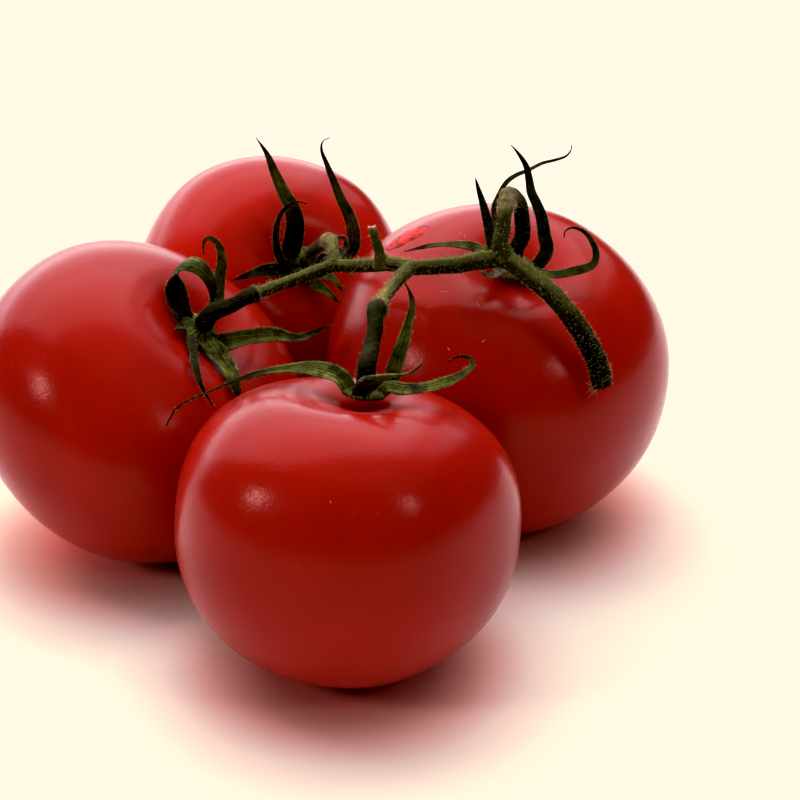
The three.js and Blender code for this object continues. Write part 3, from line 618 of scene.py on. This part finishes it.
# %% The finishes of the vine, its hairs and its cut ends
def stalk_finish(name, painted_light):
    """Olive green rind with painted shade underneath, and corky tan where the UV map's first
    number is 1.

    Its second argument is how bright the green is painted: the far halves past the knuckles are
    painted nearly black, as painted shade."""
    coat = Coat(name)
    broad = noise_of(coat, coat.place, 130, 3)
    fine = noise_of(coat, coat.place, 900, 4)
    low, high, dapple, brown = (tuple(c * painted_light for c in colour) for colour in (
        (0.026, 0.023, 0.003), (0.090, 0.080, 0.012), (0.165, 0.14, 0.028), (0.10, 0.060, 0.026)))
    colour = ramp_of(coat, broad, (0.3, low), (0.7, high))
    colour = blend_of(coat, ramp_of(coat, fine, (0.35, 0), (0.75, 0.6)), colour, dapple)
    patched = ramp_of(coat, noise_of(coat, coat.place, 300, 4), (0.60, 0), (0.74, 0.65))
    colour = blend_of(coat, patched, colour, brown)
    # Painted shade underneath, then the painted light and shade along the piece.
    colour = dimmed(coat, dimmed(coat, colour, lit_from_above(coat, 0.12)), own_painted_light(coat))
    tan = ramp_of(coat, fine, (0.35, (0.11, 0.075, 0.028)), (0.65, (0.34, 0.25, 0.11)))
    return coat.set({
        "Base Color": blend_of(coat, parts_of(coat, coat.uv)[0], colour, tan),
        "Roughness": 0.7, "Specular IOR Level": 0.03,
        "Normal": bump_of(coat, fine, 0.00015, 0.7, bump_of(coat, broad, 0.0004, 0.6))})


def fibre_finish(name, first, second):
    """Thin dry fibres, two tones in patches."""
    coat = Coat(name)
    colour = ramp_of(coat, noise_of(coat, coat.place, 600, 2), (0.35, first), (0.65, second))
    return coat.set({"Base Color": colour, "Roughness": 0.6, "Specular IOR Level": 0.1})


SEPAL = sepal_finish("sepal_green")
STALK = stalk_finish("stalk_green", 1.0)
# Painted shade: the far halves' rind and hairs are made nearly black, for the shade that they lie in.
SHADED_STALK = stalk_finish("stalk_painted_shade", 0.25)
HAIR = fibre_finish("pale_hairs", (0.30, 0.27, 0.09), (0.56, 0.50, 0.22))
SHADED_HAIR = fibre_finish("hairs_painted_shade", (0.06, 0.05, 0.018), (0.18, 0.16, 0.07))
SCRATCH = fibre_finish("dry_scratch", (0.22, 0.04, 0.025), (0.60, 0.25, 0.17))
WITHERED = fibre_finish("withered", (0.030, 0.018, 0.008), (0.20, 0.13, 0.065))
PITH = fibre_finish("cut_fibres", (0.30, 0.16, 0.10), (0.52, 0.36, 0.26))
print("finishes ready")

# %% [markdown]
# ## The fruits
# A tomato is a squat round berry with faint lobes, one for each seed chamber, and a hollow round
# its stalk. The skin could be a sphere pushed about by hand, but a formula keeps it on the solid
# model: a superellipse turned round the core. A few parts of a millimetre of slow waves keep it
# from looking machine-made, and the table presses a small flat foot into it.

# %% The skin of one fruit
FRUIT_ROWS, FRUIT_COLUMNS = 130, 220


def lean_matrix(fruit):
    """The turn that leans a fruit's core from upright towards a compass direction."""
    hinge = math.radians(fruit["toward"] + 90)
    x, y, angle = math.cos(hinge), math.sin(hinge), math.radians(fruit["lean"])
    skew = np.array([[0, 0, y], [0, 0, -x], [-y, x, 0]])
    return np.eye(3) + math.sin(angle) * skew + (1 - math.cos(angle)) * skew @ skew


def skin_point(fruit, down, turn):
    """Points of a fruit's skin before it leans.

    The reach from the middle is ((s / radius)^q + (c / height)^q)^(-1/q), with s and c the sine
    and cosine of the angle down from the stalk and q the squareness. The lobes widen it by one
    part in a hundred, and the hollow sinks by dimple * exp(-(r / (0.3 radius))^2)."""
    s, c = np.sin(down), np.cos(down)
    upper = c > 0
    q = np.where(upper, fruit["square_above"], fruit["square_below"])
    height = np.where(upper, fruit["above"], fruit["below"])
    reach = ((s / fruit["radius"]) ** q + (np.abs(c) / height) ** q) ** (-1 / q)
    lobe = 1 + LOBE_SHARE * s * np.cos(LOBES * turn + math.radians(fruit["lobe_phase"]))
    r = reach * s * lobe
    hollow = np.where(upper, fruit["dimple"] * np.exp(-((r / (DIMPLE_SHARE * fruit["radius"])) ** 2)), 0)
    return np.stack([r * np.cos(turn), r * np.sin(turn), reach * c - hollow], -1)


def slow_waves(points, size, seed):
    """A smooth random height, from -1 to 1: the mean of eight sine waves in random directions."""
    random = np.random.default_rng(seed)
    directions = unit(random.normal(size=(8, 3))) * random.uniform(0.7, 1.4, (8, 1)) * 2 * np.pi / size
    phases = random.uniform(0, 2 * np.pi, 8)
    return np.sin(points @ directions.T + phases).mean(-1)


SCRATCHES = {
    "right": [[24.6, 139, 20.8, 146.7], [22.3, 139.3, 20.2, 143.8], [29.5, -149.2, 27.5, -145.6],
              [24.3, -122.6, 24.9, -119.2], [25.9, -24.4, 28.2, -28], [38, -107.9, 36.4, -106],
              [21.9, -94.7, 22.5, -90], [52.9, -6.9, 54, -7.9], [43, -121.8, 43.6, -120],
              [42, -144.8, 40.4, -143.7]],
    "front": [[26, -146.6, 26.6, -143.8], [63.5, -96.4, 64.4, -96]],
    "left": [[59, 176, 57.9, 177.8]],
    "back": [],
}
SKIN_WAVE, SKIN_WAVE_LENGTH, SKIN_INSET = 0.12, 22, 0.14


def scratch(fruit, start_down, start_turn, end_down, end_turn):
    """A thin raised sliver that follows the skin between two places, given in degrees."""
    share = np.linspace(0, 1, 9)
    down = np.radians(start_down + (end_down - start_down) * share)
    turn = np.radians(start_turn + (end_turn - start_turn) * share)
    line = skin_point(fruit, down, turn)
    outward = unit(line)
    taper = np.sin(np.pi * (0.06 + 0.88 * share))[:, None]
    rings = swept(line - 0.12 * outward, unit(np.gradient(line, axis=0)), outward,
                  taper * [0.10, 0, -0.10, 0], taper * [0, 0.09, 0, -0.09])
    return tube(rings, np.zeros((9, 4, 2)), 1)


def fruit_surface(place):
    """A fruit's closed skin, leaned, set down on the table and pressed flat where it stands."""
    fruit = FRUITS[place]
    down = np.linspace(0, np.pi, FRUIT_ROWS + 1)[1:-1, None]
    turn = np.linspace(0, 2 * np.pi, FRUIT_COLUMNS, endpoint=False)[None]
    rings = skin_point(fruit, down, turn)
    poles = skin_point(fruit, np.array([1e-4, np.pi - 1e-4]), np.zeros(2))
    points = np.vstack([rings.reshape(-1, 3), poles])
    waves = SKIN_WAVE * slow_waves(points, SKIN_WAVE_LENGTH, 3)[:, None]
    points = points + unit(points) * (waves - SKIN_INSET)
    rows = FRUIT_ROWS - 1
    ring = np.arange(FRUIT_COLUMNS)
    top, bottom = len(points) - 2, len(points) - 1
    caps = np.vstack([fan(ring[::-1], top), fan(ring + (rows - 1) * FRUIT_COLUMNS, bottom)])
    uv = np.stack([np.tile(turn / (2 * np.pi), (rows, 1)), np.tile(down / np.pi, (1, FRUIT_COLUMNS))], -1)
    skin = dict(points=points, quads=grid_faces(rows, FRUIT_COLUMNS)[:, ::-1], triangles=caps,
                uv=np.vstack([uv.reshape(-1, 2), [[0, 0]], [[0, 1]]]), painted_light=np.ones(len(points)),
                quad_finish=np.zeros((rows - 1) * FRUIT_COLUMNS, int),
                triangle_finish=np.zeros(len(caps), int))
    whole = join([skin] + [scratch(fruit, *ends) for ends in SCRATCHES[place]])
    leaned = whole["points"] @ lean_matrix(fruit).T
    placed = leaned + [fruit["x"], fruit["y"], -FOOT_SINK - leaned[:, 2].min()]
    placed[:, 2] = np.maximum(placed[:, 2], 0)
    return dict(whole, points=placed)


# %% Make the four fruits
fruits = {place: make_piece("fine_tomato_" + place, fruit_surface(place), "tomato_" + place,
                            [skins[place], SCRATCH]) for place in FRUITS}

# %% [markdown]
# ## Hairs
# Vine, stalks and sepals carry short pale hairs that catch the light along every edge. Blender's
# own hair would be lost in the export, so each hair is a real needle: three sides and a foot.

# %% Needles on a surface
def face_normals(surface):
    """The corners of each four-sided face, and its normal, twice as long as the face's area."""
    corners = surface["points"][surface["quads"]]
    return corners, np.cross(corners[:, 2] - corners[:, 0], corners[:, 3] - corners[:, 1])


def needles(surface, count, length, thick, finish, weight=None, lean=0.5, random=chance):
    """Needles that stand on the four-sided faces of a surface.

    Faces are drawn at random by their area times a weight. A needle's foot is a random point of
    its face, and it points along the face's normal plus a random lean."""
    corners, cross = face_normals(surface)
    area = np.linalg.norm(cross, axis=1) + 1e-9
    odds = area if weight is None else area * weight
    chosen = random.choice(len(area), count, p=odds / odds.sum())
    a, b = random.uniform(0, 1, (2, count, 1))
    face = corners[chosen]
    foot = (face[:, 0] * (1 - a) + face[:, 1] * a) * (1 - b) + (face[:, 3] * (1 - a) + face[:, 2] * a) * b
    normal = cross[chosen] / area[chosen, None]
    way = unit(normal + lean * random.normal(size=(count, 3)))
    reach = length * random.uniform(0.4, 1.2, (count, 1))
    side = unit(np.cross(way, unit(random.normal(size=(count, 3)))))
    other = np.cross(way, side)
    angles = np.array([0, 2, 4]) * np.pi / 3
    ring = side[:, None] * np.cos(angles)[None, :, None] + other[:, None] * np.sin(angles)[None, :, None]
    base = (foot - way * 0.05)[:, None] + ring * thick / 2
    points = np.concatenate([base, (foot + way * reach)[:, None]], 1).reshape(-1, 3)
    start = np.arange(count)[:, None, None] * 4
    pattern = np.array([[0, 1, 3], [1, 2, 3], [2, 0, 3], [0, 2, 1]])
    return dict(points=points, quads=np.zeros((0, 4), int), triangles=(start + pattern).reshape(-1, 3),
                uv=np.zeros((len(points), 2)), painted_light=np.ones(len(points)), quad_finish=np.zeros(0, int),
                triangle_finish=np.full(count * 4, finish))


print("needles ready: four triangles each")

# %% [markdown]
# ## The sepals
# Each sepal is a narrow pointed leaf. It is folded along its midrib, ribbed lengthwise, a
# little wavy at its edges, and dried to a curled tip. The profile is two rows of points, one
# for each face, carried along the midrib's curve and narrowed to a point.

# %% One sepal
SEPAL_STEPS = 64
SEPAL_ACROSS = 13
SEPAL_HAIRS, SEPAL_HAIR_LENGTH, SEPAL_HAIR_THICK = 260, 0.5, 0.05


def sepal_width(share, taper):
    """The share of its greatest width that a sepal has along its length.

    It widens a little from the root over the first third, then narrows as (1 - t^1.6)^taper."""
    base = 0.75 + 0.25 * np.sin(np.minimum(share / 0.3, 1) * np.pi / 2)
    return base * (1 - share**1.6) ** taper


def sepal_surface(sepal, centre, core, seed):
    """A thin pointed blade from its root in the collar to its tip.

    Its faces are fold + ribs, plus or minus half its thickness. The fold is the half width times
    fold * |u|^1.3, with a wave at the edges, and the ribs are two cosines of u, which is -1 to 1
    across. Its thickness is 0.7 mm at the midrib and half that at the edges, and thins to the tip."""
    random = np.random.default_rng(seed)
    route = np.asarray(sepal["route"], float)
    root = unit(route[0] - route[0] @ core * core) * SEPAL_ROOT
    midrib, direction = curve_through(centre + np.vstack([root, route]), SEPAL_STEPS)
    share = np.linspace(0, 1, SEPAL_STEPS + 1)
    width = sepal["width"] * sepal_width(share, sepal.get("taper", SEPAL_TAPER))
    half = np.maximum(width, 0.25 + 0.45 * (1 - share)) / 2
    u = np.linspace(-1, 1, SEPAL_ACROSS)
    thick = (0.32 + 0.38 * (1 - np.abs(u))) * (1 - 0.55 * share[:, None])
    wave = 0.16 * np.sin(share * random.uniform(12, 18) + random.uniform(0, 6))[:, None] * np.sign(u) * u**2
    fold = half[:, None] * (sepal.get("fold", SEPAL_FOLD) * np.abs(u) ** 1.3 + wave)
    shift = random.uniform(0, 6, 2)
    ribs = 0.05 * np.cos(u * 5.3 * np.pi + shift[0]) + 0.03 * np.cos(u * 8.7 * np.pi + shift[1])
    ribs = ribs * (1 - share[:, None])
    upper = fold + thick / 2 + ribs
    lower = fold - thick / 2 + ribs
    across = half[:, None] * u
    rings = swept(midrib, direction, along(sepal["looks"], share),
                  np.hstack([across, across[:, ::-1]]), np.hstack([upper, lower[:, ::-1]]))
    uv = np.stack([np.tile(np.concatenate([u, u[::-1]]), (len(share), 1)),
                   np.tile(share[:, None], (1, 2 * SEPAL_ACROSS))], -1)
    return tube(rings, uv, 2 if sepal.get("withered") else 0, along(sepal.get("painted_lights", [1]), share))


# %% The collar that the sepals grow from
def collar_surface(centre, core):
    """A low round cushion: radius 4 mm, with a rounded rim that waves a little."""
    angle = np.linspace(0, np.pi, 12)[1:-1, None]
    turn = np.linspace(0, 2 * np.pi, 48, endpoint=False)[None]
    waved = 1 + 0.05 * np.cos(5 * turn)
    radius = COLLAR_RADIUS * np.sin(angle) ** 0.6 * waved
    height = COLLAR_RISE * np.cos(angle) * np.ones_like(turn)
    side = unit(np.cross(core, [0, 1, 0.2]))
    other = np.cross(core, side)
    rings = centre + side * (radius * np.cos(turn))[..., None] + other * (radius * np.sin(turn))[..., None]
    rings = rings + core * height[..., None]
    uv = np.stack([0.5 * np.cos(3 * turn) * np.ones_like(angle), np.zeros_like(radius)], -1)
    return tube(rings, uv)


# %% Make the four calyces
def calyx_surface(place):
    """The collar and its sepals, with hairs that stand seventeen times as thick along the edges."""
    centre = np.array(COLLARS[place])
    core = lean_matrix(FRUITS[place])[:, 2]
    blades = [sepal_surface(sepal, centre, core, 10 * len(place) + i)
              for i, sepal in enumerate(SEPALS[place])]
    body = join([collar_surface(centre, core)] + blades)
    edge = np.abs(body["uv"][body["quads"], 0]).mean(1)
    hairs = needles(body, SEPAL_HAIRS * len(blades), SEPAL_HAIR_LENGTH, SEPAL_HAIR_THICK, 1,
                    0.25 + 4 * (edge > 0.8))
    return join([body, hairs])


calyces = {place: make_piece("fine_calyx_" + place, calyx_surface(place), "calyx_" + place,
                             [SEPAL, HAIR, WITHERED]) for place in FRUITS}

# %% [markdown]
# ## The stalks and the vine
# A tomato's stalk is round, a little ridged and lumpy, and swells at the knuckle where the ripe
# fruit would break off. A ring carried along a curve gives the stem, and the ring's radius
# carries the taper, the swelling, the ridges and the lumps.

# %% One stretch of stalk
STALK_SIDES = 28


def stalk_surface(route, steps, radii, facing, knuckle_at=None, seed=0, ragged=0.0, cork=1.0,
                  lip=0.0, painted_lights=(1,)):
    """A round stalk: radius = taper + swelling + 3% ridges + slow lumps.

    The knuckle end may have a narrow lip. A broken end is ragged and sunk in its middle."""
    line, direction = curve_through(route, steps)
    share = np.linspace(0, 1, steps + 1)[:, None]
    turn = np.linspace(0, 2 * np.pi, STALK_SIDES, endpoint=False)[None]
    radius = along(radii, share[:, 0])[:, None]
    corky = cork * np.exp(-((share / 0.06) ** 2)) if ragged else np.zeros_like(share)
    if knuckle_at is not None:
        from_knuckle = share - knuckle_at
        radius = radius + KNUCKLE_SWELL * np.exp(-((from_knuckle / KNUCKLE_LENGTH) ** 2))
        radius = radius + lip * np.exp(-((from_knuckle / 0.035) ** 2))
        corky = cork * np.exp(-((from_knuckle / 0.13) ** 2))
    radius = radius * (1 + 0.03 * np.cos(6 * turn + 2 * np.sin(3 * share)))
    looks = np.tile(np.asarray(facing, float), (steps + 1, 1))
    rings = swept(line, direction, looks, -radius * np.cos(turn), radius * np.sin(turn))
    lumps = 0.12 * slow_waves(rings, 5.0, seed) + 0.06 * slow_waves(rings, 1.6, seed + 1)
    rings = rings + unit(rings - line[:, None]) * lumps[..., None]
    if ragged:
        rings[:1] -= direction[0] * (ragged * slow_waves(rings[:1], 1.2, seed + 2))[..., None]
    uv = np.stack([corky * np.ones_like(turn), share * np.ones_like(turn)], -1)
    stalk = tube(rings, uv, 0, along(painted_lights, share[:, 0]))
    if ragged:
        stalk["points"][-2] += direction[0] * 1.2
        stalk["triangle_finish"][:STALK_SIDES] = 2
    return stalk


HAIRS_PER_MM2 = 2.4
STALK_HAIR_LENGTH, STALK_HAIR_THICK = 0.85, 0.06


def with_hairs(body):
    """A stalk with hairs spread evenly over it."""
    count = int(HAIRS_PER_MM2 * np.linalg.norm(face_normals(body)[1], axis=1).sum() / 2)
    return join([body, needles(body, count, STALK_HAIR_LENGTH, STALK_HAIR_THICK, 1)])


# %% Make the far halves, from knuckle to collar
STALK_LIFT = 0.6
GAP = 0.3


def far_half(place):
    """The stalk from just past the knuckle to just above the collar."""
    stalk = STALKS[place]
    line, directions = curve_through(stalk["near"], 200)
    knuckle, onward = line[-1], directions[-1]
    collar, core = np.array(COLLARS[place]), lean_matrix(FRUITS[place])[:, 2]
    route = [knuckle + onward * GAP, knuckle + onward * KNUCKLE_RUN, *stalk["far"],
             collar + core * STALK_FOOT, collar + core * (COLLAR_RISE + STALK_LIFT)]
    return with_hairs(stalk_surface(route, 90, stalk["far_radii"], stalk["facing"], 0, seed=len(place),
                                    cork=stalk["far_cork"]))


stalks = {place: make_piece("fine_stalk_" + place, far_half(place), "stalk_" + place,
                            [SHADED_STALK, SHADED_HAIR, PITH]) for place in FRUITS}

# %% Make the vine, with its broken stub and the near halves
def vine_surface():
    """The main stem from its cut end to the last knuckle, the stub and four short branches."""
    front = (0, -1, 0)
    stem = stalk_surface(VINE_MAIN["route"], 260, VINE_MAIN["radii"], front, seed=31, ragged=0.9,
                         cork=0.0, painted_lights=VINE_MAIN["painted_lights"])
    stub = stalk_surface(BROKEN_STUB["route"][::-1], 40, BROKEN_STUB["radii"][::-1], front, seed=41,
                         ragged=0.5, painted_lights=[STUB_TONE])
    branches = [stalk_surface(stalk["near"], 90, stalk["near_radii"], stalk["facing"], 1, seed=50 + i,
                              cork=stalk["near_cork"], lip=KNUCKLE_LIP, painted_lights=stalk["near_painted_lights"])
                for i, stalk in enumerate(STALKS.values())]
    first_row = np.arange(len(stem["quads"])) < STALK_SIDES
    left_side = stem["points"][stem["quads"]].mean(1)[:, 0] < VINE_MAIN["route"][0][0] - 0.8
    fibres = needles(stem, 9, 2.4, 0.16, 2, first_row * left_side * 1.0, 0.7)
    return join([with_hairs(join([stem, stub] + branches)), fibres])


vine = make_piece("fine_vine", vine_surface(), "vine", [STALK, HAIR, PITH])

# %% [markdown]
# ## The table, the light and the camera
# The truss lies on a plain pale table in soft light, as by a window. A large sloping softbox
# behind and to the left, brighter at its top, lays the pale sheens on the fruits' shoulders, and
# a weaker one beside it reaches the right shoulders. A low backdrop lights the rims. A wide fill
# overhead, kept out of the skin's reflections, lightens the table and the shadows, and two small
# lamps in front make the little round glints. Area lights are used because their reflections
# have the edges that the sheens need.

# %% The table
def table_finish():
    """A cream surface, very faintly cloudy, with a painted red shadow round the foot of each fruit."""
    coat = Coat("table_cream")
    cloudy = noise_of(coat, coat.place, 3, 2)
    colour = ramp_of(coat, cloudy, (0.3, (0.88, 0.86, 0.78)), (0.7, (0.90, 0.88, 0.80)))
    for fruit in FRUITS.values():
        away = distance_of(coat, (fruit["x"] * MM, fruit["y"] * MM, 0))
        share = ranged(coat, away, 0.2 * fruit["radius"] * MM, 1.4 * fruit["radius"] * MM)
        # Painted shadow: dark red at each fruit's foot, fading to cream further out, for its contact shadow
        # and the red light that it throws on the table.
        painted_shadow = ramp_of(coat, share, (0.0, (0.62, 0.05, 0.05)), (0.22, (0.74, 0.13, 0.11)),
                       (0.48, (0.84, 0.44, 0.37)), (0.75, (1.0, 0.88, 0.85)), (1.0, 1))
        colour = dimmed(coat, colour, painted_shadow)
    return coat.set({"Base Color": colour, "Roughness": 0.9, "Specular IOR Level": 0.1})


TABLE_HALF = 6.0
table_mesh = bpy.data.meshes.new("table")
table_mesh.from_pydata([(x * TABLE_HALF, y * TABLE_HALF, 0) for x, y in ((-1, -1), (1, -1), (1, 1), (-1, 1))],
                       [], [(0, 1, 2, 3)])
table_mesh.materials.append(table_finish())
into_scene("table", table_mesh)
print("table", 2 * TABLE_HALF, "m wide")

# %% The panels of light
SOFTBOX_TURN = -26


def panel(name, place, aim, width, height, radiance, colour):
    """A soft rectangular light, its power worked out from the brightness of its face."""
    light = bpy.data.lights.new(name, "AREA")
    light.shape = "RECTANGLE"
    light.size, light.size_y = width, height
    light.energy = radiance * width * height * math.pi
    light.color = colour
    lamp = into_scene(name, light)
    lamp.location = place
    lamp.rotation_euler = (Vector(aim) - Vector(place)).to_track_quat("-Z", "Y").to_euler()
    lamp.visible_camera = False
    print(name, round(light.energy, 2), "W")
    return lamp


WARM = (1.0, 0.93, 0.78)
UP = Vector((0, 0, 1))
truss_middle = Vector((0.015, 0.0, 0.03))
behind = Vector((math.sin(math.radians(SOFTBOX_TURN)), math.cos(math.radians(SOFTBOX_TURN)), 0))
sideways = Vector((behind.y, -behind.x, 0))
downhill = (behind - UP).normalized()
box_middle = truss_middle + 1.2 * (behind + UP) / 2
for name, aside, width, start, end, radiance in (("softbox_upper", 0, 1.3, -0.72, 0.0, 4.0),
                                                 ("softbox_lower", 0, 1.3, 0.0, 0.62, 2.3),
                                                 ("softbox_right", 0.95, 0.6, -0.72, 0.25, 1.5)):
    place = box_middle + aside * sideways + downhill * (start + end) / 2
    panel(name, place, place - (behind + UP), width, end - start, radiance, WARM)
low_middle = truss_middle + 0.25 * UP
panel("backdrop", low_middle + 1.6 * behind, low_middle, 2.4, 0.6, 1.8, WARM)
fill_place = truss_middle + Vector((0.30, -0.02, 1.1))
panel("room_fill", fill_place, truss_middle, 1.2, 1.2, 2.2, (1.0, 0.88, 0.74)).visible_glossy = False
glint_middle = Vector((0.005, -0.055, 0.03))
for side, way, radiance in (("left", (-0.768, -0.419, 0.484), 34.0),
                            ("right", (0.64, -0.499, 0.584), 15.0)):
    panel("glint_" + side, glint_middle + 0.65 * Vector(way), glint_middle, 0.09, 0.13, radiance, WARM)

world = bpy.data.worlds.new("room")
bpy.context.scene.world = world
world.use_nodes = True
glow = world.node_tree.nodes["Background"].inputs
glow["Color"].default_value, glow["Strength"].default_value = (1.0, 0.26, 0.18, 1), 0.035

# %% The picture's tones
# The photograph has a cream white and clear, contrasty tones. The curve of each colour ends at its
# share of that cream, and the faintest greys are drawn down to black.
CURVES = dict(red=((0.26, 0.245), (0.52, 0.57), (0.75, 0.775), (1.0, 1.0)),
              green=((0.75, 0.735), (1.0, 0.955)),
              blue=((0.75, 0.73), (1.0, 0.79)))
view = bpy.context.scene.view_settings
view.view_transform = "Standard"
view.use_curve_mapping = True
display = view.curve_mapping
display.black_level = (0.003, 0.003, 0.003)
for curve, stops in zip(display.curves, CURVES.values()):
    curve.points[-1].location = stops[-1]
    for stop in stops[:-1]:
        curve.points.new(*stop)
display.extend = "HORIZONTAL"
display.update()
print("cream white:", [stops[-1][1] for stops in CURVES.values()])

# %% The camera
eye = Vector((14.8, -356.2, 187.4)) * MM
aim = Vector((14.8, 1.2, 28.2)) * MM
lens = bpy.data.cameras.new("camera")
lens.lens, lens.sensor_width, lens.clip_start = 83.94, 36, 0.01
camera = into_scene("camera", lens)
camera.location = eye
camera.rotation_euler = (aim - eye).to_track_quat("-Z", "Y").to_euler()
bpy.context.scene.camera = camera
print("camera at", [round(v, 4) for v in eye])
